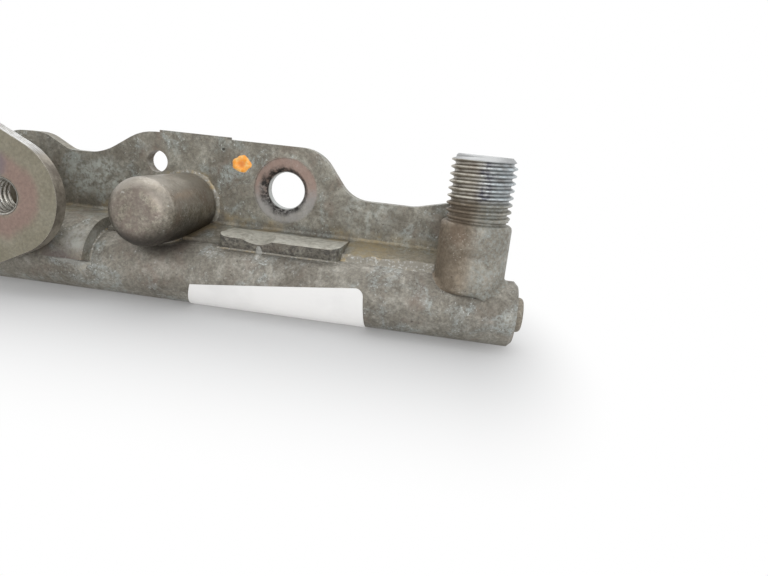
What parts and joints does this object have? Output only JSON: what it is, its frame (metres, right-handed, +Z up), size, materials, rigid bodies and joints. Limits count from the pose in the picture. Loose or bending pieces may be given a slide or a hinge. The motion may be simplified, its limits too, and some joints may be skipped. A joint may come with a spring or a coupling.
{
  "type": "fuel rail",
  "caption": "High-pressure fuel rail: closed steel tube on a stamped bolt-on bracket, with injector cups, a threaded inlet and a threaded support tab.",
  "frame": {"origin": "centre of the middle bolt hole, on the bracket's rear mounting face", "axes": "+X along the rail towards the inlet end, +Y into the engine along the bolts and injectors, +Z up along the inlet fitting"},
  "size_m": [0.3096, 0.0414, 0.0404],
  "materials": {
    "tube_steel": "dull, stained",
    "bracket_steel": "dull, stained",
    "cup_steel": "dull, stained",
    "fitting_steel": "dull collar, bright thread",
    "plug_steel": "dull, stained",
    "tab_steel": "smooth, heat tinted",
    "nut_steel": "satin",
    "label_paper": "bare white sticker"
  },
  "bodies": {
    "root": {"rail_tube": "tube_steel", "mounting_bracket": "bracket_steel", "injector_cup_1": "cup_steel", "injector_cup_2": "cup_steel", "injector_cup_3": "cup_steel", "inlet_fitting": "fitting_steel", "inlet_end_plug": "plug_steel", "far_end_plug": "plug_steel", "support_tab": "tab_steel", "support_tab_nut": "nut_steel", "part_label": "label_paper"}
  },
  "joints": []
}
